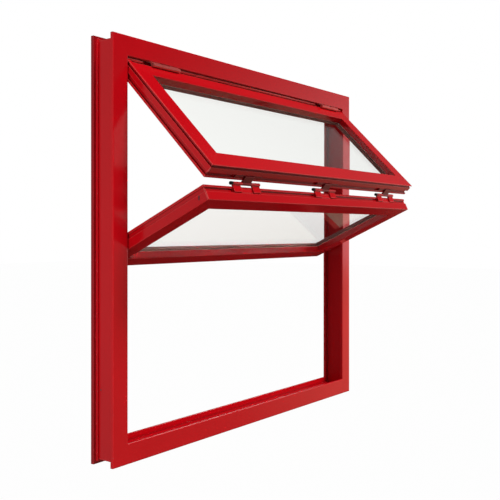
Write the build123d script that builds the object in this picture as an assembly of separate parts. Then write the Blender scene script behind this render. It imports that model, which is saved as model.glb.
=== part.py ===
"""Concession window: a mitred wall frame with two glazed sashes that fold outwards, shown open.

+X runs along the window, +Y into the building, +Z up. The origin is in the middle of the sill's
outer flange, on its back face, which is the face that lies against the wall.
"""
import os
from math import cos, radians, sin

from build123d import *

# Wall frame, one extrusion all round
BODY_W = 1036.0             # body that passes through the wall cut-out
BODY_H = 934.0
OVERHANG = 10.0             # front flange and clamp ring beyond the body
FACE_W = 45.0               # front face, from its outer edge to the opening
FLANGE_T = 9.0              # front flange
POCKET_W = 52.0             # room for the wall, between front flange and clamp ring
FIN_T = 6.0                 # rear fin behind the guide channel
FACE_ROUND = 1.2
EDGE_ROUND = 0.8

# Clamp ring that grips the wall from inside
CLAMP_T = 9.5               # flange of the ring
CLAMP_LEDGE_T = 3.6         # ledge on the frame's body, in front of the flange
CLAMP_LEDGE_L = 5.5

# Sashes
SASH_H = 352.8
SASH_T = 35.5
STILE_W = 49.0
RAIL_W = 43.0
HINGE_RAIL_W = 50.0         # top rail of the upper sash, which carries the head hinges
SASH_SIDE_GAP = 2.5         # between a sash's edge and the frame's front flange
SASH_ROUND = 1.5
REVEAL_D = 18.0             # outer face to the gasket
REBATE_W = 12.0             # glazing rebate behind the outer face
LIP_T = 2.5                 # outer lip of the upper sash's edge
LIP_GROOVE_W = 5.5
LIP_GROOVE_D = 4.0
CHANNEL_W = 9.0             # hinge channel in the edge
UPPER_CHANNEL_D = 5.0
LOWER_CHANNEL_D = 4.5       # in the rails; the stiles carry no hinge
LOWER_STILE_CHANNEL_D = 2.0
INNER_LIP_T = 5.5

# Glazing
GLASS_T = 6.0
GLASS_EDGE_GAP = 2.0        # glass edge to the bottom of the rebate
GASKET_T = 1.5
GASKET_GRIP = 9.0           # gasket behind the outer face
GASKET_SETBACK = 1.0        # gasket's edge behind the reveal
BEAD_SETBACK = 3.0          # bead's edge behind the reveal
BEAD_NOSE = 2.0             # upright edge of the bead at the glass
BEAD_SLOPE = 4.0

# Open pose
UPPER_TILT = 44.75          # degrees from upright, foot swung out
LOWER_TILT = 65.3           # degrees from upright, foot swung in
HEAD_GAP = 3.3              # head to the upper sash's top edge
SASH_SETBACK = 7.4          # upper sash's top edge behind the front face

# Hinge groove in the upper sash's top rail
HINGE_GROOVE_INSET = 6.0
HINGE_GROOVE_W = 6.0
HINGE_GROOVE_D = 5.0

# Head hinges
HEAD_HINGE_INSET = 104.0    # sash end to the middle of a hinge's place
HEAD_HINGE_SHIFT = 15.0     # barrel to the right of that middle
HEAD_HINGE_L = 95.0
HEAD_NOTCH_L = 20.0         # lip cut away to the left of the barrel
HEAD_BARREL_R = 4.5
HEAD_PIN_R = 2.2
HEAD_PIN_OUT = 5.0          # pin in front of the front face
HEAD_PIN_DROP = 7.9         # pin below the head's inner edge
HEAD_LEAF_T = 2.0
HEAD_LEG_T = 4.5

# Fold hinges
FOLD_HINGE_INSET = 140.0    # sash end to the middle of an outer hinge's place
FOLD_HINGE_SHIFT = 8.0      # barrel to the right of that middle
FOLD_HINGE_L = 100.0
FOLD_BARREL_R = 4.0
FOLD_PIN_R = 2.2
FOLD_PIN_GAP = 4.5          # pin beyond each sash's edge
FOLD_PIN_RISE = 5.6         # pin beyond each sash's inner face
FOLD_FOOT_RISE = 3.0        # bracket leg above the channel's rim
FOLD_LEG_W = 28.0           # each leg of the lower bracket

# Pins and their bores
PIN_FIT = 0.05              # radial clearance
KNUCKLE_GAP = 0.4           # between neighbouring knuckles
PIN_HEAD_R = 4.0
PIN_HEAD_L = 7.0
SEAT_FIT = 0.3              # hinge foot to the walls of its groove

# Guides of the lower sash
ROLLER_R = 9.0
ROLLER_W = 9.0
ROLLER_FIT = 0.2            # roller to its axle and to the fin
AXLE_R = 4.0
COLLAR_R = 6.0
COLLAR_W = 5.0              # collar between stile and roller
ROLLER_END_GAP = 3.3        # roller to the floor of the jamb's channel

# Derived frame places
OVERALL_W = BODY_W + 2 * OVERHANG
OVERALL_H = BODY_H + 2 * OVERHANG
FRONT_Y = -FLANGE_T
REAR_Y = POCKET_W + CLAMP_T
FIN_Y = REAR_Y - FIN_T
MID_Z = (OVERALL_H - OVERHANG) / 2
HEAD_EDGE_Z = OVERALL_H - OVERHANG / 2 - FACE_W
GUIDE_CHANNEL_D = COLLAR_W + ROLLER_FIT + ROLLER_W + ROLLER_END_GAP - SASH_SIDE_GAP
CHANNEL_U = FACE_W - GUIDE_CHANNEL_D

# Derived sash places
SASH_W = OVERALL_W - 2 * FACE_W - 2 * SASH_SIDE_GAP
GLASS_N = REVEAL_D + GASKET_T
BEAD_N = GLASS_N + GLASS_T
INNER_LIP_N = SASH_T - INNER_LIP_T
CHANNEL_N = INNER_LIP_N - CHANNEL_W
PIN_N = SASH_T + FOLD_PIN_RISE


def section(*corners):
    """Closed (Y, Z) section from corners given as (y, z) or (y, z, corner radius)."""
    points = [corner[:2] for corner in corners]
    radii = [corner[2] if len(corner) == 3 else 0 for corner in corners]
    return make_face(FilletPolyline(*points, radius=radii, close=True).edges())


def disc(y, z, radius):
    return Pos(y, z) * Circle(radius)


def prism(face, start, end):
    """A (Y, Z) section drawn out along X from one station to another."""
    return Pos(X=start) * extrude(Plane.YZ * face, end - start)


def mitred_bars(head, sill, side, width, height):
    """Four bars round a rectangle, each cut from the rectangle's corner to the corner of the opening.

    Each bar is given as its section and its width; z in the section is measured inwards from the
    rectangle's outer edge.
    """
    def bar(piece, length, start_w, end_w):
        profile, own_w = piece
        half = length / 2
        outline = Polyline((-half, 0), (half, 0), (half - end_w, own_w), (start_w - half, own_w), close=True)
        wedge = extrude(Plane.XZ * make_face(outline.edges()), 2 * REAR_Y, both=True)
        return prism(profile, -half, half) & wedge

    head_w, sill_w, side_w = head[1], sill[1], side[1]
    return {
        "head": Pos(Z=height / 2) * Rot(Y=180) * bar(head, width, side_w, side_w),
        "sill": Pos(Z=-height / 2) * bar(sill, width, side_w, side_w),
        "left": Pos(X=-width / 2) * Rot(Y=90) * bar(side, height, head_w, sill_w),
        "right": Pos(X=width / 2) * Rot(Y=-90) * bar(side, height, sill_w, head_w),
    }


def knuckle_stations(middle, length):
    """Start and end of the three knuckles of a barrel."""
    pitch = length / 3
    starts = [middle - length / 2 + pitch * index for index in range(3)]
    return [(start + KNUCKLE_GAP / 2, start + pitch - KNUCKLE_GAP / 2) for start in starts]


parts = {}


# Wall frame: front flange, body and rear fin in one section
frame_bar = section(
    (FRONT_Y, 0, FACE_ROUND),
    (FRONT_Y, FACE_W, FACE_ROUND),
    (0, FACE_W, EDGE_ROUND),
    (0, CHANNEL_U),
    (FIN_Y, CHANNEL_U),
    (FIN_Y, FACE_W, EDGE_ROUND),
    (REAR_Y, FACE_W, FACE_ROUND),
    (REAR_Y, OVERHANG),
    (0, OVERHANG),
    (0, 0, EDGE_ROUND),
), FACE_W
frame_names = {
    "head": "frame_head",
    "sill": "frame_sill",
    "left": "frame_jamb_left",
    "right": "frame_jamb_right",
}
for side, bar in mitred_bars(frame_bar, frame_bar, frame_bar, OVERALL_W, OVERALL_H).items():
    parts[frame_names[side]] = Pos(Z=MID_Z) * bar

# Clamp ring: a flange that meets the wall, with a ledge that lies on the frame's body
clamp_bar = section(
    (POCKET_W, 0, EDGE_ROUND),
    (REAR_Y, 0, FACE_ROUND),
    (REAR_Y, OVERHANG),
    (POCKET_W - CLAMP_LEDGE_L, OVERHANG),
    (POCKET_W - CLAMP_LEDGE_L, OVERHANG - CLAMP_LEDGE_T, EDGE_ROUND),
    (POCKET_W, OVERHANG - CLAMP_LEDGE_T),
), OVERHANG
for side, bar in mitred_bars(clamp_bar, clamp_bar, clamp_bar, OVERALL_W, OVERALL_H).items():
    parts[f"clamp_ring_{side}"] = Pos(Z=MID_Z) * bar


def sash_bar(width, channel_d, lip_groove=()):
    """Bar of a sash: outer face, reveal, glazing rebate, then the outer edge with its hinge channel."""
    return section(
        (0, 0, SASH_ROUND),
        (0, width, SASH_ROUND),
        (REVEAL_D, width),
        (REVEAL_D, width - REBATE_W),
        (SASH_T, width - REBATE_W),
        (SASH_T, 0, EDGE_ROUND),
        (INNER_LIP_N, 0, EDGE_ROUND),
        (INNER_LIP_N, channel_d),
        (CHANNEL_N, channel_d),
        (CHANNEL_N, 0, EDGE_ROUND),
        *lip_groove,
    ), width


def sash(top, bottom, stile):
    """Rails, stiles and glazing of one sash, with its outer face at Y = 0 and its top edge at Z = 0."""
    opening_w = SASH_W - 2 * stile[1]
    opening_h = SASH_H - top[1] - bottom[1]
    bars = mitred_bars(top, bottom, stile, SASH_W, SASH_H)
    bead_w = REBATE_W - BEAD_SETBACK
    bead = section(
        (BEAD_N, 0),
        (BEAD_N, bead_w),
        (BEAD_N + BEAD_NOSE, bead_w),
        (SASH_T, bead_w - BEAD_SLOPE),
        (SASH_T, 0),
    ), bead_w
    beads = mitred_bars(bead, bead, bead, opening_w + 2 * REBATE_W, opening_h + 2 * REBATE_W)

    def sheet(outwards, depth, thickness):
        """Flat sheet over the opening, larger than it by outwards on every side."""
        return Pos(Y=depth + thickness / 2) * Box(opening_w + 2 * outwards, thickness, opening_h + 2 * outwards)

    glazing = {
        "glass": sheet(REBATE_W - GLASS_EDGE_GAP, GLASS_N, GLASS_T),
        "gasket": sheet(GASKET_GRIP, REVEAL_D, GASKET_T) - sheet(GASKET_SETBACK, REVEAL_D, GASKET_T),
        "bead": beads["head"] + beads["sill"] + beads["left"] + beads["right"],
    }
    pieces = {name: Pos(Z=(bottom[1] - top[1]) / 2) * piece for name, piece in glazing.items()}
    pieces["top_rail"] = bars["head"]
    pieces["bottom_rail"] = bars["sill"]
    pieces["stile_left"] = bars["left"]
    pieces["stile_right"] = bars["right"]
    return {name: Pos(Z=-SASH_H / 2) * piece for name, piece in pieces.items()}


# Upper sash: swung out at the foot; the lip above its hinge groove is cut away at the head hinges
upper_top_y = FRONT_Y + SASH_SETBACK
upper_top_z = HEAD_EDGE_Z - HEAD_GAP
upper_at = Pos(0, upper_top_y, upper_top_z) * Rot(X=-UPPER_TILT)
flat_n = LIP_T + LIP_GROOVE_W
lip_groove = [
    (flat_n, 0, EDGE_ROUND),
    (flat_n, LIP_GROOVE_D),
    (LIP_T, LIP_GROOVE_D),
    (LIP_T, 0, EDGE_ROUND),
]
upper = sash(
    sash_bar(HINGE_RAIL_W, UPPER_CHANNEL_D),
    sash_bar(RAIL_W, UPPER_CHANNEL_D, lip_groove),
    sash_bar(STILE_W, UPPER_CHANNEL_D, lip_groove),
)
groove_end = HINGE_GROOVE_INSET + HINGE_GROOVE_W


def groove_cut(start_u):
    """Section of a cut in the outer face, from a place below the top edge to the groove's lower wall."""
    return section(
        (0, -start_u),
        (HINGE_GROOVE_D, -start_u),
        (HINGE_GROOVE_D, -groove_end),
        (0, -groove_end),
    )


head_hinge_x = SASH_W / 2 - HEAD_HINGE_INSET
head_hinges = {"left": HEAD_HINGE_SHIFT - head_hinge_x, "right": HEAD_HINGE_SHIFT + head_hinge_x}
upper["top_rail"] -= prism(groove_cut(HINGE_GROOVE_INSET), -SASH_W / 2, SASH_W / 2)
for middle in head_hinges.values():
    notch = prism(groove_cut(0), middle - HEAD_HINGE_L / 2 - HEAD_NOTCH_L, middle + HEAD_HINGE_L / 2)
    upper["top_rail"] -= notch
for name, piece in upper.items():
    parts[f"upper_sash_{name}"] = upper_at * piece

# Lower sash: hangs from the fold pins, foot swung in through the frame
fold_at = upper_at * Pos(0, PIN_N, -SASH_H - FOLD_PIN_GAP)
fold_y = fold_at.position.Y
fold_z = fold_at.position.Z
lower_at = Pos(0, fold_y, fold_z) * Rot(X=LOWER_TILT) * Pos(0, -PIN_N, -FOLD_PIN_GAP)
lower_rail = sash_bar(RAIL_W, LOWER_CHANNEL_D)
for name, piece in sash(lower_rail, lower_rail, sash_bar(STILE_W, LOWER_STILE_CHANNEL_D)).items():
    parts[f"lower_sash_{name}"] = lower_at * piece

# Head hinges: a leaf under the head carries the outer knuckles, a leaf in the sash's groove the middle one
head_pin_y = FRONT_Y - HEAD_PIN_OUT
head_pin_z = HEAD_EDGE_Z - HEAD_PIN_DROP
leaf_z = HEAD_EDGE_Z - HEAD_LEAF_T
frame_plate = section(
    (FRONT_Y + FACE_ROUND, HEAD_EDGE_Z),
    (-EDGE_ROUND, HEAD_EDGE_Z),
    (-EDGE_ROUND, leaf_z),
    (FRONT_Y + FACE_ROUND, leaf_z),
)
frame_arm = section(
    (head_pin_y, head_pin_z + HEAD_BARREL_R),
    (FRONT_Y + FACE_ROUND, HEAD_EDGE_Z),
    (FRONT_Y + FACE_ROUND, leaf_z),
    (head_pin_y + HEAD_BARREL_R, head_pin_z),
    (head_pin_y, head_pin_z),
)
frame_barrel = disc(head_pin_y, head_pin_z, HEAD_BARREL_R)
frame_knuckle = frame_arm + frame_barrel - disc(head_pin_y, head_pin_z, HEAD_PIN_R + PIN_FIT)

tilt = radians(UPPER_TILT)
pin_out_y = head_pin_y - upper_top_y
pin_out_z = head_pin_z - upper_top_z
pin_n = pin_out_y * cos(tilt) - pin_out_z * sin(tilt)
pin_s = pin_out_y * sin(tilt) + pin_out_z * cos(tilt)
plate_n = HINGE_GROOVE_D - HEAD_LEAF_T
plate_s = SEAT_FIT - groove_end
sash_plate = section(
    (HINGE_GROOVE_D, plate_s),
    (HINGE_GROOVE_D, -HINGE_GROOVE_INSET - SEAT_FIT),
    (plate_n, -HINGE_GROOVE_INSET - SEAT_FIT),
    (plate_n, plate_s),
)
sash_leg = section(
    (plate_n, plate_s),
    (plate_n, plate_s + HEAD_LEG_T),
    (pin_n, plate_s + HEAD_LEG_T),
    (pin_n, plate_s),
)
sash_knuckle = sash_leg + disc(pin_n, pin_s, HEAD_BARREL_R) - disc(pin_n, pin_s, HEAD_PIN_R + PIN_FIT)
for side, middle in head_hinges.items():
    first, centre, last = knuckle_stations(middle, HEAD_HINGE_L)
    frame_leaf = prism(frame_plate, first[0], last[1])
    for stations in (first, last):
        frame_leaf += prism(frame_knuckle, *stations)
    parts[f"head_hinge_{side}_frame_leaf"] = frame_leaf
    sash_leaf = prism(sash_plate, first[0], last[1]) + prism(sash_knuckle, *centre)
    parts[f"head_hinge_{side}_sash_leaf"] = upper_at * sash_leaf
    parts[f"head_hinge_{side}_pin"] = prism(disc(head_pin_y, head_pin_z, HEAD_PIN_R), first[0], last[1])

# Fold hinges: brackets seated in the sashes' edge channels meet on a pin at the inner side
foot_n = CHANNEL_N + SEAT_FIT
heel_n = INNER_LIP_N - SEAT_FIT
bracket_bore = disc(PIN_N, FOLD_PIN_GAP, FOLD_PIN_R + PIN_FIT)
bracket_barrel = disc(PIN_N, FOLD_PIN_GAP, FOLD_BARREL_R) - bracket_bore
bracket_leg = section(
    (foot_n, 0),
    (foot_n, FOLD_FOOT_RISE, FOLD_FOOT_RISE / 2),
    (PIN_N, FOLD_PIN_GAP),
    (PIN_N, FOLD_PIN_GAP - FOLD_BARREL_R),
    (heel_n, 0),
) - bracket_bore


def fold_bracket(middle, knuckles, legs, channel_d):
    """Bracket on a sash's top edge: a foot along the channel, its knuckles and the legs that carry them."""
    bracket_foot = section((foot_n, -channel_d), (heel_n, -channel_d), (heel_n, 0), (foot_n, 0))
    bracket = prism(bracket_foot, middle - FOLD_HINGE_L / 2, middle + FOLD_HINGE_L / 2)
    for stations in knuckles:
        bracket += prism(bracket_barrel, *stations)
    for stations in legs:
        bracket += prism(bracket_leg, *stations)
    return bracket


fold_hinge_x = SASH_W / 2 - FOLD_HINGE_INSET
for side, place in (("left", -fold_hinge_x), ("middle", 0), ("right", fold_hinge_x)):
    middle = place + FOLD_HINGE_SHIFT
    first, centre, last = knuckle_stations(middle, FOLD_HINGE_L)
    upside_down = mirror(fold_bracket(middle, [centre], [centre], UPPER_CHANNEL_D), about=Plane.XY)
    parts[f"fold_hinge_{side}_upper_bracket"] = upper_at * Pos(Z=-SASH_H) * upside_down
    legs = [(first[0], first[0] + FOLD_LEG_W), (last[1] - FOLD_LEG_W, last[1])]
    lower_bracket = fold_bracket(middle, [first, last], legs, LOWER_CHANNEL_D)
    parts[f"fold_hinge_{side}_lower_bracket"] = lower_at * lower_bracket
    head = prism(disc(fold_y, fold_z, PIN_HEAD_R), first[0] - PIN_HEAD_L, first[0])
    parts[f"fold_hinge_{side}_pin"] = head + prism(disc(fold_y, fold_z, FOLD_PIN_R), first[0], last[1])

# Guides: a roller on each stile of the lower sash bears on the jamb's rear fin
lower_tilt = radians(LOWER_TILT)
roller_y = FIN_Y - ROLLER_R - ROLLER_FIT
roller_n = CHANNEL_N / 2
roller_s = (roller_y - lower_at.position.Y - roller_n * cos(lower_tilt)) / sin(lower_tilt)
roller_z = lower_at.position.Z + roller_n * sin(lower_tilt) - roller_s * cos(lower_tilt)
stile_x = SASH_W / 2
collar_x = stile_x + COLLAR_W
collar = prism(disc(roller_y, roller_z, COLLAR_R), stile_x, collar_x)
axle = collar + prism(disc(roller_y, roller_z, AXLE_R), collar_x, collar_x + ROLLER_FIT + ROLLER_W)
tyre = disc(roller_y, roller_z, ROLLER_R) - disc(roller_y, roller_z, AXLE_R + ROLLER_FIT)
roller = prism(tyre, collar_x + ROLLER_FIT, collar_x + ROLLER_FIT + ROLLER_W)
parts["guide_axle_right"] = axle
parts["guide_roller_right"] = roller
parts["guide_axle_left"] = mirror(axle, about=Plane.YZ)
parts["guide_roller_left"] = mirror(roller, about=Plane.YZ)

os.makedirs("parts", exist_ok=True)
for name, part in parts.items():
    export_step(part, f"parts/{name}.step")
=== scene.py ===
import math

import bpy
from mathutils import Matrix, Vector


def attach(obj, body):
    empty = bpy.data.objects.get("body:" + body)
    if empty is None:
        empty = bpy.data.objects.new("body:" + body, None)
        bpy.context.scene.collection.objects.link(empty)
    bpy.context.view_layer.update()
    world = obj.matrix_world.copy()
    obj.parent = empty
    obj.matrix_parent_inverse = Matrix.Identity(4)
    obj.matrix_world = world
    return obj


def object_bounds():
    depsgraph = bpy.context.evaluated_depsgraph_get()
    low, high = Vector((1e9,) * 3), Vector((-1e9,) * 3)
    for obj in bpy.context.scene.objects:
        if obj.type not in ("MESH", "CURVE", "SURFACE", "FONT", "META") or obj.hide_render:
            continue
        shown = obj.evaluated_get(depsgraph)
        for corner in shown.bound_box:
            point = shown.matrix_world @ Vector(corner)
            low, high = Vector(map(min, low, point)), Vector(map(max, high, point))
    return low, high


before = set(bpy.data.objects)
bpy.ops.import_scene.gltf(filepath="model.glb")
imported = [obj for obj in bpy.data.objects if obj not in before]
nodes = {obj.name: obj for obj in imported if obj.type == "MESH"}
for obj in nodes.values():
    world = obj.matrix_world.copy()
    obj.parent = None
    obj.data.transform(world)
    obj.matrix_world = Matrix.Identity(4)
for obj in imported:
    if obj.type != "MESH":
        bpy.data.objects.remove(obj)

cad_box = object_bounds()

# Wall frame: four bars of one extruded aluminium section, mitred at the corners and pulled
# tight by hidden cleats. The bars are coated red after cutting, so the coat runs over every edge.


def linear(hex_colour):
    """An sRGB hex colour as linear red, green, blue and alpha."""
    shares = [int(hex_colour[i:i + 2], 16) / 255 for i in (1, 3, 5)]
    return [s / 12.92 if s <= 0.04045 else ((s + 0.055) / 1.055) ** 2.4 for s in shares] + [1.0]


def add(tree, kind, inputs=None, **settings):
    """Adds one node with its settings, and each input set to a value or linked to a socket.

    A Mix node's sockets go by number: 0 is the factor, 2 and 3 are numbers, 4 and 5 vectors,
    6 and 7 colours; its outputs are 0 for a number, 1 for a vector and 2 for a colour.
    """
    made = tree.nodes.new("ShaderNode" + kind)
    for name, value in settings.items():
        setattr(made, name, value)
    for key, value in (inputs or {}).items():
        if isinstance(value, bpy.types.NodeSocket):
            tree.links.new(value, made.inputs[key])
        else:
            made.inputs[key].default_value = value
    return made


def new_material(name):
    """A material with an empty tree, and its object coordinates, which are metres in the frame."""
    made = bpy.data.materials.new(name)
    made.use_nodes = True
    made.node_tree.nodes.clear()
    place = add(made.node_tree, "TexCoord").outputs["Object"]
    return made, made.node_tree, place


def per_metre(size_mm):
    """Texture scale at which one feature of a pattern is size_mm wide."""
    return 1000.0 / size_mm


def coat(material, *names):
    """Gives CAD nodes a material through their material slots."""
    for name in names:
        nodes[name].material_slots[0].material = material


# Polyester powder coat, sprayed dry and baked: a satin red that flows to a faint orange peel and
# pools a little unevenly over a bar's length. Its arrises are drawn in a paler red, a painted
# highlight, and its grooves in a darker red, painted shade. The peel is drawn coarser than real, to
# show.
COAT_RED = "#C40A16"
COAT_DEEP = "#B80812"
COAT_PAINTED_HIGHLIGHT = "#CC383A"
COAT_PAINTED_SHADE = "#7C080D"
COAT_IOR = 1.5
COAT_ROUGHNESS = (0.13, 0.18)
FILM_POOL_MM = 170.0
ORANGE_PEEL_MM = 5.0
PEEL_DEPTH_MM = 0.4
PEEL_STRENGTH = 0.08
ARRIS_MM = 2.4
ARRIS_SHUT = (0.9, 0.45)        # occlusion inside the bar, from its flat to its edge
ARRIS_HIGHLIGHT_SHARE = 0.75
GROOVE_MM = 7.0
GROOVE_SHUT = (0.95, 0.4)       # occlusion outside the bar, from its flat to a groove's floor
GROOVE_SHADE_SHARE = 0.85
EDGE_SAMPLES = 8
BAR_WAY = (1.0, 0.0, 0.0)
MITRE_SLANT = (0.01, 0.0005)    # turn along and across a bar at once, which only a mitre seam has


def baked_coat(name, full, pooled, arris_highlight, groove_shade):
    """Powder coat in one red: full film, pooled, a painted highlight on an arris, and in a groove
    painted shade when the groove colour is darker, painted light when it is brighter.
    """
    made, tree, place = new_material(name)
    pool = add(tree, "TexNoise", {"Vector": place, "Scale": per_metre(FILM_POOL_MM), "Detail": 2.0})
    body = add(tree, "Mix", {0: pool.outputs["Fac"], 6: linear(full), 7: linear(pooled)},
               data_type="RGBA")
    rounded = add(tree, "Bevel", {"Radius": ARRIS_MM / 1000}, samples=EDGE_SAMPLES)
    plain = add(tree, "NewGeometry")
    turn = add(tree, "VectorMath", {0: rounded.outputs["Normal"], 1: plain.outputs["True Normal"]},
               operation="SUBTRACT")
    width_way = add(tree, "VectorMath", {0: plain.outputs["True Normal"], 1: BAR_WAY},
                    operation="CROSS_PRODUCT")
    along = add(tree, "VectorMath", {0: turn.outputs["Vector"], 1: BAR_WAY},
                operation="DOT_PRODUCT")
    across = add(tree, "VectorMath", {0: turn.outputs["Vector"], 1: width_way.outputs["Vector"]},
                 operation="DOT_PRODUCT")
    both = add(tree, "Math", {0: along.outputs["Value"], 1: across.outputs["Value"]},
               operation="MULTIPLY")
    slant = add(tree, "Math", {0: both.outputs[0]}, operation="ABSOLUTE")
    no_mitre = add(tree, "MapRange", {"Value": slant.outputs[0], "From Min": MITRE_SLANT[0],
                                      "From Max": MITRE_SLANT[1]})
    # Painted highlight: the colour turns towards the arris colour where the bar's own far side is
    # near, at an edge.
    inside = add(tree, "AmbientOcclusion", {"Distance": ARRIS_MM / 1000}, inside=True,
                 only_local=True, samples=EDGE_SAMPLES)
    painted_highlight_share = add(tree, "MapRange", {"Value": inside.outputs["AO"], "From Min": ARRIS_SHUT[0],
                                  "From Max": ARRIS_SHUT[1], "To Min": 0.0, "To Max": ARRIS_HIGHLIGHT_SHARE})
    arris = add(tree, "Math", {0: painted_highlight_share.outputs["Result"], 1: no_mitre.outputs["Result"]},
                operation="MULTIPLY")
    paler = add(tree, "Mix", {0: arris.outputs[0], 6: body.outputs[2], 7: linear(arris_highlight)},
                data_type="RGBA")
    # The colour turns towards the groove colour where the bar's own walls are near: painted shade
    # in grooves, or on the clamp ring painted light.
    outside = add(tree, "AmbientOcclusion", {"Distance": GROOVE_MM / 1000}, only_local=True,
                  samples=EDGE_SAMPLES)
    groove = add(tree, "MapRange", {"Value": outside.outputs["AO"], "From Min": GROOVE_SHUT[0],
                                    "From Max": GROOVE_SHUT[1], "To Min": 0.0,
                                    "To Max": GROOVE_SHADE_SHARE})
    colour = add(tree, "Mix", {0: groove.outputs["Result"], 6: paler.outputs[2],
                               7: linear(groove_shade)}, data_type="RGBA")
    peel = add(tree, "TexNoise", {"Vector": place, "Scale": per_metre(ORANGE_PEEL_MM),
                                  "Detail": 1.0})
    gloss = add(tree, "MapRange", {"Value": pool.outputs["Fac"], "To Min": COAT_ROUGHNESS[0],
                                   "To Max": COAT_ROUGHNESS[1]})
    eased = add(tree, "Mix", {0: no_mitre.outputs["Result"], 4: plain.outputs["Normal"],
                              5: rounded.outputs["Normal"]}, data_type="VECTOR")
    dimple = add(tree, "Bump", {"Height": peel.outputs["Fac"], "Strength": PEEL_STRENGTH,
                                "Distance": PEEL_DEPTH_MM / 1000, "Normal": eased.outputs[1]})
    skin = add(tree, "BsdfPrincipled", {"Base Color": colour.outputs[2],
                                        "Roughness": gloss.outputs["Result"], "IOR": COAT_IOR,
                                        "Normal": dimple.outputs["Normal"]})
    add(tree, "OutputMaterial", {"Surface": skin.outputs["BSDF"]})
    return made


powder_coat = baked_coat("powder_coat_baked_red", COAT_RED, COAT_DEEP, COAT_PAINTED_HIGHLIGHT, COAT_PAINTED_SHADE)
coat(powder_coat, "frame_head", "frame_sill", "frame_jamb_left", "frame_jamb_right")

# Clamp ring: four mitred aluminium bars behind the wall, drawn to the frame so that the wall is
# gripped between the two flanges. Their coat is drawn a deeper red than the frame's, painted shade,
# with a brighter red in the grooves, painted light on the shaded pockets, and a brighter red on the
# ledge in front of the flange, which lies on the frame's body, painted light too.
RING_RED_PAINTED_SHADE = "#940810"
RING_DEEP_PAINTED_SHADE = "#880710"
RING_PAINTED_HIGHLIGHT = "#B03234"
RING_GROOVE_PAINTED_LIGHT = "#B41019"
RING_LEDGE_PAINTED_LIGHT = "#C8121C"
LEDGE_END = 0.052
LEDGE_FADE = 0.001

ring_coat = baked_coat("powder_coat_deeper_red_painted_shade", RING_RED_PAINTED_SHADE, RING_DEEP_PAINTED_SHADE, RING_PAINTED_HIGHLIGHT, RING_GROOVE_PAINTED_LIGHT)
tree = ring_coat.node_tree
skin = next(node for node in tree.nodes if node.type == "BSDF_PRINCIPLED")
spot = add(tree, "SeparateXYZ", {"Vector": add(tree, "TexCoord").outputs["Object"]})
# Painted light: a brighter red on the ledge, in front of LEDGE_END.
ledge = add(tree, "MapRange", {"Value": spot.outputs["Y"], "From Min": LEDGE_END,
                               "From Max": LEDGE_END - LEDGE_FADE})
two_reds = add(tree, "Mix", {0: ledge.outputs["Result"],
                             6: skin.inputs["Base Color"].links[0].from_socket,
                             7: linear(RING_LEDGE_PAINTED_LIGHT)}, data_type="RGBA")
tree.links.new(two_reds.outputs[2], skin.inputs["Base Color"])
coat(ring_coat, *(f"clamp_ring_{side}" for side in ("head", "sill", "left", "right")))

# Sashes: two glazed leaves, each of four mitred aluminium bars, the upper one with a hinge groove
# in its top rail. They hang from the head and fold. Their arrises have a paler red than the
# frame's, a stronger painted highlight, and the lower leaf a slightly deeper red, painted shade
# for a leaf that lies under the upper one and mostly faces down.
SASH_PAINTED_HIGHLIGHT = "#E25A58"
LOWER_RED_PAINTED_SHADE = "#BA0914"
LOWER_DEEP_PAINTED_SHADE = "#AE0811"

upper_coat = baked_coat("powder_coat_red_painted_highlight", COAT_RED, COAT_DEEP, SASH_PAINTED_HIGHLIGHT, COAT_PAINTED_SHADE)
# Painted shade: the lower leaf's deeper red.
lower_coat = baked_coat("powder_coat_red_painted_shade", LOWER_RED_PAINTED_SHADE, LOWER_DEEP_PAINTED_SHADE, SASH_PAINTED_HIGHLIGHT,
                        COAT_PAINTED_SHADE)
for leaf, leaf_coat in (("upper_sash", upper_coat), ("lower_sash", lower_coat)):
    coat(leaf_coat, *(f"{leaf}_{bar}"
                      for bar in ("top_rail", "bottom_rail", "stile_left", "stile_right")))

# Glazing: one toughened pane in each leaf, bedded outside on a rubber gasket and held inside by
# a snapped-in aluminium bead.

# Toughened float glass: clear with a faint grey cast and a slow roller wave. Its index is set low,
# so that the pane mirrors as little as a thin clear pane does in a bright room. The lower pane's
# tint is paler than the upper's, a painted brightening that makes up for the stronger mirroring of
# that more slanted pane.
GLASS_TINTS = {"upper_sash": "#FAFBF8", "lower_sash": "#FDFDFB"}
GLASS_IOR = 1.12
ROLLER_WAVE_MM = 260.0
WAVE_DEPTH_MM = 1.0
WAVE_STRENGTH = 0.05

for leaf, tint in GLASS_TINTS.items():
    float_glass, tree, place = new_material(f"float_glass_toughened_{leaf}")
    wave = add(tree, "TexNoise", {"Vector": place, "Scale": per_metre(ROLLER_WAVE_MM),
                                  "Detail": 0.0})
    ripple = add(tree, "Bump", {"Height": wave.outputs["Fac"], "Strength": WAVE_STRENGTH,
                                "Distance": WAVE_DEPTH_MM / 1000})
    pane = add(tree, "BsdfPrincipled", {"Base Color": linear(tint), "Roughness": 0.0,
                                        "IOR": GLASS_IOR, "Transmission Weight": 1.0,
                                        "Normal": ripple.outputs["Normal"]})
    add(tree, "OutputMaterial", {"Surface": pane.outputs["BSDF"]})
    coat(float_glass, f"{leaf}_glass")

# EPDM rubber, extruded and through-coloured: a matt pale red-brown with a paler bloom. The pale,
# reddish colour is painted light: it stands in for the light and the red bounce that reach the
# gasket in the shaded recess at the pane's edge.
RUBBER_PALE_PAINTED_LIGHT = "#C49C96"
RUBBER_BLOOM = "#D0ACA6"
RUBBER_ROUGHNESS = (0.55, 0.8)
RUBBER_IOR = 1.52
BLOOM_MM = 14.0

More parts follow.
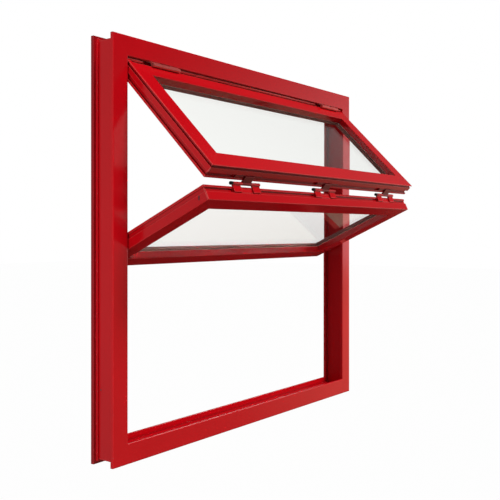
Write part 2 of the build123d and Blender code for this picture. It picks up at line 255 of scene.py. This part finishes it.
gasket_rubber, tree, place = new_material("epdm_rubber_extruded")
bloom = add(tree, "TexNoise", {"Vector": place, "Scale": per_metre(BLOOM_MM), "Detail": 3.0})
shade = add(tree, "Mix", {0: bloom.outputs["Fac"], 6: linear(RUBBER_PALE_PAINTED_LIGHT),
                          7: linear(RUBBER_BLOOM)}, data_type="RGBA")
dull = add(tree, "MapRange", {"Value": bloom.outputs["Fac"], "To Min": RUBBER_ROUGHNESS[0],
                              "To Max": RUBBER_ROUGHNESS[1]})
skin = add(tree, "BsdfPrincipled", {"Base Color": shade.outputs[2],
                                    "Roughness": dull.outputs["Result"], "IOR": RUBBER_IOR})
add(tree, "OutputMaterial", {"Surface": skin.outputs["BSDF"]})

# Bead in bronze powder coat, with butyl tape rolled on its glass side: a satin red-brown from
# inside, and a dull pale brown where the tape is seen through the pane. Both are drawn paler and
# redder than bronze and butyl are, painted light for the shaded recess at the pane's edge and the
# red bounce in it, the tape the most.
BEAD_BRONZE = "#8A5852"
BEAD_WORN = "#98665F"
TAPE_CLEAN = "#DCB0A8"
TAPE_SOILED = "#CC9E96"
BEAD_ROUGHNESS = (0.45, 0.65)
TAPE_MM = 9.0
TAPE_FACING = (0.8, 0.95)       # cosine to the pane's outward way, from bare bead to full tape
LEAF_TILTS = {"upper_sash": 44.75, "lower_sash": -65.3}

for leaf, tilt_deg in LEAF_TILTS.items():
    outwards = (0.0, -math.cos(math.radians(tilt_deg)), math.sin(math.radians(tilt_deg)))
    taped_bead, tree, place = new_material(f"powder_coat_bronze_with_tape_{leaf}")
    soil = add(tree, "TexNoise", {"Vector": place, "Scale": per_metre(TAPE_MM), "Detail": 2.0})
    bronze = add(tree, "Mix", {0: soil.outputs["Fac"], 6: linear(BEAD_BRONZE),
                               7: linear(BEAD_WORN)}, data_type="RGBA")
    tape = add(tree, "Mix", {0: soil.outputs["Fac"], 6: linear(TAPE_CLEAN),
                             7: linear(TAPE_SOILED)}, data_type="RGBA")
    side = add(tree, "NewGeometry")
    facing = add(tree, "VectorMath", {0: side.outputs["True Normal"], 1: outwards},
                 operation="DOT_PRODUCT")
    taped = add(tree, "MapRange", {"Value": facing.outputs["Value"], "From Min": TAPE_FACING[0],
                                   "From Max": TAPE_FACING[1]})
    shade = add(tree, "Mix", {0: taped.outputs["Result"], 6: bronze.outputs[2],
                              7: tape.outputs[2]}, data_type="RGBA")
    dull = add(tree, "MapRange", {"Value": soil.outputs["Fac"], "To Min": BEAD_ROUGHNESS[0],
                                  "To Max": BEAD_ROUGHNESS[1]})
    skin = add(tree, "BsdfPrincipled", {"Base Color": shade.outputs[2],
                                        "Roughness": dull.outputs["Result"], "IOR": COAT_IOR})
    add(tree, "OutputMaterial", {"Surface": skin.outputs["BSDF"]})
    coat(taped_bead, f"{leaf}_bead")
    coat(gasket_rubber, f"{leaf}_gasket")

# Head hinges: two short knuckle hinges that hang the upper sash from the head of the frame.
# Their leaves are steel, set in a groove of the sash and under the head, and coated with it.

# Powder coat drawn a pale, half metallic red on the hinges: a painted highlight that stands in for
# the bright line along the barrels, and glints in the shade.
HIGHLIGHT_RED = "#E84E4C"
HIGHLIGHT_PALE_RED = "#F28680"
HIGHLIGHT_METALLIC = (0.5, 0.8)
HIGHLIGHT_PATCH_MM = 42.5

pale_coat_painted_highlight, tree, place = new_material("powder_coat_pale_painted_highlight")
highlight_patches = add(tree, "TexNoise", {"Vector": place, "Scale": per_metre(HIGHLIGHT_PATCH_MM), "Detail": 3.0})
shade = add(tree, "Mix", {0: highlight_patches.outputs["Fac"], 6: linear(HIGHLIGHT_RED), 7: linear(HIGHLIGHT_PALE_RED)},
            data_type="RGBA")
metal_share = add(tree, "MapRange", {"Value": highlight_patches.outputs["Fac"], "To Min": HIGHLIGHT_METALLIC[0],
                              "To Max": HIGHLIGHT_METALLIC[1]})
skin = add(tree, "BsdfPrincipled", {"Base Color": shade.outputs[2],
                                    "Metallic": metal_share.outputs["Result"], "Roughness": 0.28})
add(tree, "OutputMaterial", {"Surface": skin.outputs["BSDF"]})

for side in ("left", "right"):
    coat(pale_coat_painted_highlight, f"head_hinge_{side}_frame_leaf", f"head_hinge_{side}_sash_leaf",
         f"head_hinge_{side}_pin")

# Welt: a thin round bar along the aluminium lip above the sash's hinge groove, broken off at the
# two hinges, in the hinges' pale coat: a painted highlight, drawn as a bar, for the bright line of
# the lip.
WELT_R = 0.0012
WELT_Y, WELT_Z = -0.00428, 0.89970
WELT_RUNS = ((-0.4795, -0.4310), (-0.3130, 0.3220), (0.4410, 0.4795))
END_SHARE = 0.55                # of the radius, where a run ends


def round_bar(name, runs, y, z, radius, sides=16):
    """A round bar along X in one or more runs, each with eased ends."""
    points, faces = [], []
    for start, end in runs:
        rings = ((start, END_SHARE), (start + radius / 2, 1.0),
                 (end - radius / 2, 1.0), (end, END_SHARE))
        first = len(points)
        for x, share in rings:
            for step in range(sides):
                turn = 2 * math.pi * step / sides
                points.append((x, y + radius * share * math.cos(turn),
                               z + radius * share * math.sin(turn)))
        for ring in range(len(rings) - 1):
            for step in range(sides):
                after = (step + 1) % sides
                low, high = first + ring * sides, first + (ring + 1) * sides
                faces.append((low + step, high + step, high + after, low + after))
        faces.append(tuple(first + step for step in range(sides)))
        last = first + (len(rings) - 1) * sides
        faces.append(tuple(last + step for step in reversed(range(sides))))
    mesh = bpy.data.meshes.new(name)
    mesh.from_pydata(points, [], faces)
    mesh.polygons.foreach_set("use_smooth", [len(face) == 4 for face in faces])
    made = bpy.data.objects.new(name, mesh)
    bpy.context.scene.collection.objects.link(made)
    return made


welt = round_bar("upper_sash_lip_highlight_bar", WELT_RUNS, WELT_Y, WELT_Z, WELT_R)
welt.data.materials.append(pale_coat_painted_highlight)
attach(welt, "root")

# Fold hinges: three bracket pairs, bent from steel strip, that join the two sashes along the fold
# on steel pins. The brackets under the upper sash have a dark red coat, painted shade for the
# shadow under the upper leaf, and those of the lower sash have the frame's coat.
FOLD_RED_PAINTED_SHADE = "#7A0810"
FOLD_DEEP_PAINTED_SHADE = "#68070D"
FOLD_PAINTED_HIGHLIGHT = "#8E2A2C"
FOLD_GROOVE_PAINTED_SHADE = "#2C0406"

fold_coat_painted_shade = baked_coat("powder_coat_dark_red_painted_shade", FOLD_RED_PAINTED_SHADE, FOLD_DEEP_PAINTED_SHADE, FOLD_PAINTED_HIGHLIGHT, FOLD_GROOVE_PAINTED_SHADE)

# Steel pin, black oxide: a dark blue-black skin with dull grain.
OXIDE_BLACK = "#141416"
OXIDE_GREY = "#2A2A2D"
OXIDE_ROUGHNESS = (0.35, 0.55)
OXIDE_METALLIC = 0.6
OXIDE_GRAIN_MM = 3.0

black_steel, tree, place = new_material("steel_black_oxide")
grain = add(tree, "TexNoise", {"Vector": place, "Scale": per_metre(OXIDE_GRAIN_MM), "Detail": 4.0})
shade = add(tree, "Mix", {0: grain.outputs["Fac"], 6: linear(OXIDE_BLACK), 7: linear(OXIDE_GREY)},
            data_type="RGBA")
rub = add(tree, "MapRange", {"Value": grain.outputs["Fac"], "To Min": OXIDE_ROUGHNESS[0],
                             "To Max": OXIDE_ROUGHNESS[1]})
skin = add(tree, "BsdfPrincipled", {"Base Color": shade.outputs[2],
                                    "Roughness": rub.outputs["Result"],
                                    "Metallic": OXIDE_METALLIC})
add(tree, "OutputMaterial", {"Surface": skin.outputs["BSDF"]})

for side in ("left", "middle", "right"):
    coat(fold_coat_painted_shade, f"fold_hinge_{side}_upper_bracket")
    coat(powder_coat, f"fold_hinge_{side}_lower_bracket")
    coat(black_steel, f"fold_hinge_{side}_pin")

# Guides: a steel axle at each side of the lower sash carries a nylon roller that runs in the
# jamb's channel.

# Nylon, moulded black: a satin black that scuffs to a dark grey.
NYLON_BLACK = "#1B1B1C"
NYLON_WORN = "#34343A"
NYLON_ROUGHNESS = 0.45
NYLON_IOR = 1.53
NYLON_MM = 4.0

nylon, tree, place = new_material("nylon_moulded_black")
mottle = add(tree, "TexNoise", {"Vector": place, "Scale": per_metre(NYLON_MM), "Detail": 2.0})
shade = add(tree, "Mix", {0: mottle.outputs["Fac"], 6: linear(NYLON_BLACK), 7: linear(NYLON_WORN)},
            data_type="RGBA")
skin = add(tree, "BsdfPrincipled", {"Base Color": shade.outputs[2], "Roughness": NYLON_ROUGHNESS,
                                    "IOR": NYLON_IOR})
add(tree, "OutputMaterial", {"Surface": skin.outputs["BSDF"]})

for side in ("left", "right"):
    coat(black_steel, f"guide_axle_{side}")
    coat(nylon, f"guide_roller_{side}")

# Plugs: small nylon caps pressed into the screw holes of the lower sash's stiles and of the
# jambs. Each is a flat cap with round ends, given as x, y, z, half its width and half its height.
PLUG_T = 0.0005
STILE_PLUG = (0.4805, -0.2118, 0.5825, 0.0015, 0.0050)
JAMB_PLUG = (0.5180, 0.0395, 0.1605, 0.0018, 0.0018)


def plug(name, x, y, z, half_width, half_height, side, steps=8):
    """A flat cap with round ends on a wall that faces left (side -1) or right (side 1)."""
    rim = []
    straight = half_height - half_width
    for middle, start in ((straight, 0.0), (-straight, math.pi)):
        for step in range(steps + 1):
            turn = start + math.pi * step / steps
            rim.append((y + half_width * math.cos(turn),
                        z + middle + half_width * math.sin(turn)))
    count = len(rim)
    points = [(side * (x + depth), *spot) for depth in (0.0, PLUG_T) for spot in rim]
    faces = [tuple(range(count)), tuple(reversed(range(count, 2 * count)))]
    faces += [(k, (k + 1) % count, count + (k + 1) % count, count + k) for k in range(count)]
    mesh = bpy.data.meshes.new(name)
    mesh.from_pydata(points, [], faces if side < 0 else [face[::-1] for face in faces])
    mesh.materials.append(nylon)
    made = bpy.data.objects.new(name, mesh)
    bpy.context.scene.collection.objects.link(made)
    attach(made, "root")


for hand, side in (("left", -1), ("right", 1)):
    plug(f"stile_plug_{hand}", *STILE_PLUG, side)
    plug(f"jamb_plug_{hand}", *JAMB_PLUG, side)

# Stage: a pale floor a counter's height below the sill, where a hatch in a wall has its ground.
# It is white to the eye and through the panes, a matt grey to the light that it throws back, and
# dim and warm in the gloss of the coat.
FLOOR_DROP = 1.0
FLOOR_HALF = 30.0
FLOOR_GREY = "#7E7E7C"
FLOOR_GLOW = "#FFE6CC"
FLOOR_LIFT = 0.985              # share of plain white that the eye sees, the rest being shadow
FRONT_EDGE = (0.3, -0.5)        # y over which the glow rises towards the front
FRONT_GLOW = (0.015, 0.2)
HATCH_MIDDLE = (0.0, 0.0, 0.45)
CARD_AXIS = (0.95, -0.30, -0.02)
CARD_ON_FLOOR = (0.80, 0.98)    # cosines to the card's axis, where it starts and is full
CARD_FALLOFF = 1.5
CARD_FLOOR_LEVEL = 0.6
PANE_SHEEN = 0.42
ONE_BOUNCE = 0.5                # a ray's depth is above this once it has bounced

corners = [(x, y, cad_box[0].z - FLOOR_DROP) for x, y in
           ((-FLOOR_HALF, -FLOOR_HALF), (FLOOR_HALF, -FLOOR_HALF), (FLOOR_HALF, FLOOR_HALF),
            (-FLOOR_HALF, FLOOR_HALF))]
sheet = bpy.data.meshes.new("floor")
sheet.from_pydata(corners, [], [(0, 1, 2, 3)])
floor = bpy.data.objects.new("floor", sheet)
bpy.context.scene.collection.objects.link(floor)


def lobe(tree, way, axis, start, full, falloff):
    """How near a direction is to an axis: 0 up to the cosine start, 1 from the cosine full on."""
    long_way = add(tree, "VectorMath", {0: way}, operation="NORMALIZE")
    facing = add(tree, "VectorMath", {0: long_way.outputs["Vector"], 1: Vector(axis).normalized()},
                 operation="DOT_PRODUCT")
    near = add(tree, "MapRange", {"Value": facing.outputs["Value"], "From Min": start,
                                  "From Max": full})
    return add(tree, "Math", {0: near.outputs["Result"], 1: falloff}, operation="POWER").outputs[0]


def sight(tree):
    """Whether a ray comes from the eye, also through a pane, from a gloss or off a pane."""
    path = add(tree, "LightPath")
    turns = add(tree, "Math", {0: path.outputs["Diffuse Depth"], 1: path.outputs["Glossy Depth"]},
                operation="ADD")
    from_eye = add(tree, "Math", {0: turns.outputs[0], 1: ONE_BOUNCE}, operation="LESS_THAN")
    from_gloss = add(tree, "Math", {0: path.outputs["Glossy Depth"], 1: ONE_BOUNCE},
                     operation="GREATER_THAN")
    return from_eye.outputs[0], from_gloss.outputs[0], path.outputs["Is Singular Ray"]


pale_floor, tree, place = new_material("studio_floor_pale")
from_eye, from_gloss, from_pane = sight(tree)
matt = add(tree, "BsdfDiffuse", {"Color": linear(FLOOR_GREY)})
white = add(tree, "Emission", {"Color": (1.0, 1.0, 1.0, 1.0), "Strength": 1.0})
spot = add(tree, "SeparateXYZ", {"Vector": place})
front = add(tree, "MapRange", {"Value": spot.outputs["Y"], "From Min": FRONT_EDGE[0],
                               "From Max": FRONT_EDGE[1], "To Min": FRONT_GLOW[0],
                               "To Max": FRONT_GLOW[1]})
from_hatch = add(tree, "VectorMath", {0: place, 1: HATCH_MIDDLE}, operation="SUBTRACT")
far = add(tree, "Math", {0: lobe(tree, from_hatch.outputs["Vector"], CARD_AXIS, *CARD_ON_FLOOR,
                                 CARD_FALLOFF), 1: CARD_FLOOR_LEVEL}, operation="MULTIPLY")
both = add(tree, "Math", {0: front.outputs["Result"], 1: far.outputs[0]}, operation="MAXIMUM")
mirrored = add(tree, "Mix", {0: from_pane, 2: both.outputs[0], 3: PANE_SHEEN}, data_type="FLOAT")
dim = add(tree, "Emission", {"Color": linear(FLOOR_GLOW), "Strength": mirrored.outputs[0]})
lift = add(tree, "Math", {0: from_eye, 1: FLOOR_LIFT}, operation="MULTIPLY")
paper = add(tree, "MixShader", {0: lift.outputs[0], 1: matt.outputs[0], 2: white.outputs[0]})
shown = add(tree, "MixShader", {0: from_gloss, 1: paper.outputs[0], 2: dim.outputs[0]})
add(tree, "OutputMaterial", {"Surface": shown.outputs[0]})
sheet.materials.append(pale_floor)

# Light: a dim even room with a broad lamp above the front and soft boxes beside the left jamb and
# before the sashes. White cards give the gloss its shapes: a level one at the right, two small
# ones higher up, and an upright one behind the left jamb.
AMBIENT = 0.25
CARD_LEVEL = 1.35
CARD_IN_ROOM = (0.84, 0.985)    # cosines to the card's axis, where it starts and is full
CARD_SLOPE = (0.30, 0.03)       # height share at which the level card starts and is full
# Axis, cosines where the card starts and is full, strength
HIGH_CARDS = (((0.73, 0.5, 0.45), 0.982, 0.992, 4.0),
              ((0.91, -0.1, 0.40), 0.93, 0.985, 0.12))
HIGH_FALLOFF = 1.0

world = bpy.data.worlds.new("studio")
bpy.context.scene.world = world
world.use_nodes = True
tree = world.node_tree
tree.nodes.clear()
way = add(tree, "TexCoord").outputs["Generated"]
from_eye, from_gloss, from_pane = sight(tree)
height = add(tree, "SeparateXYZ", {"Vector": way})
slope = add(tree, "Math", {0: height.outputs["Z"]}, operation="ABSOLUTE")
level_band = add(tree, "MapRange", {"Value": slope.outputs[0], "From Min": CARD_SLOPE[0],
                                    "From Max": CARD_SLOPE[1]})
card = add(tree, "Math", {0: lobe(tree, way, CARD_AXIS, *CARD_IN_ROOM, CARD_FALLOFF),
                          1: CARD_LEVEL}, operation="MULTIPLY")
card = add(tree, "Math", {0: card.outputs[0], 1: level_band.outputs["Result"]},
           operation="MULTIPLY")
for axis, start, full, strength in HIGH_CARDS:
    high = add(tree, "Math", {0: lobe(tree, way, axis, start, full, HIGH_FALLOFF),
                              1: strength},
               operation="MULTIPLY")
    card = add(tree, "Math", {0: card.outputs[0], 1: high.outputs[0]}, operation="ADD")
gloss = add(tree, "Mix", {0: from_pane, 2: card.outputs[0], 3: PANE_SHEEN}, data_type="FLOAT")
mirror = add(tree, "Mix", {0: from_gloss, 2: AMBIENT, 3: gloss.outputs[0]}, data_type="FLOAT")
level = add(tree, "Mix", {0: from_eye, 2: mirror.outputs[0], 3: 1.0}, data_type="FLOAT")
sky = add(tree, "Background", {"Color": (1.0, 1.0, 1.0, 1.0), "Strength": level.outputs[0]})
add(tree, "OutputWorld", {"Surface": sky.outputs[0]})


def lamp(name, towards_lamp, share, spread_deg):
    """A soft sun from towards_lamp that gives a facing white surface this share of white."""
    made = bpy.data.lights.new(name, "SUN")
    made.energy = share * math.pi
    made.angle = math.radians(spread_deg)
    body = bpy.data.objects.new(name, made)
    body.rotation_euler = Vector(towards_lamp).to_track_quat("Z", "Y").to_euler()
    bpy.context.scene.collection.objects.link(body)
    return body


def panel(name, place, facing, width, height, watts):
    """An upright soft box at a place, facing a direction, out of the camera's sight."""
    made = bpy.data.lights.new(name, "AREA")
    made.shape = "RECTANGLE"
    made.size, made.size_y = width, height
    made.energy = watts
    body = bpy.data.objects.new(name, made)
    body.location = place
    body.rotation_euler = (-Vector(facing)).to_track_quat("Z", "Y").to_euler()
    body.visible_camera = False
    bpy.context.scene.collection.objects.link(body)
    return body


key = lamp("key", towards_lamp=(0.05, -0.60, 0.80), share=1.0, spread_deg=18)
key.visible_glossy = False
side_box = panel("side_box", place=(-1.25, -0.08, 0.47), facing=(1.0, 0.12, 0.0),
                 width=0.16, height=1.4, watts=4.6)
side_box.visible_glossy = False
side_card = panel("side_card", place=(-1.0, 0.42, 0.47), facing=(0.73, -0.655, 0.0),
                  width=0.5, height=1.6, watts=0.7)
side_card.visible_diffuse = False
front_box = panel("front_box", place=(0.95, -0.60, 0.25), facing=(-0.5, 0.8, 0.0),
                  width=0.3, height=0.6, watts=1.5)
front_box.visible_glossy = False

# Camera: outside and left of the hatch, level with the middle of the window. It looks straight
# ahead, and a small lens shift sets the frame, so that uprights stay upright.
LENS_MM = 57.609
SENSOR_MM = 36.0
LENS_SHIFT = -0.0378
EYE_PLACE = (-1.7633, -1.2735, 0.5138)
EYE_LEVEL_DEG = 90
EYE_TURN_DEG = 54.034

view = bpy.data.cameras.new("camera")
view.sensor_width = SENSOR_MM
view.lens = LENS_MM
view.shift_y = LENS_SHIFT
eye = bpy.data.objects.new("camera", view)
eye.location = EYE_PLACE
eye.rotation_euler = (math.radians(EYE_LEVEL_DEG), 0.0, -math.radians(EYE_TURN_DEG))
bpy.context.scene.collection.objects.link(eye)
bpy.context.scene.camera = eye
bpy.context.scene.view_settings.view_transform = "Standard"
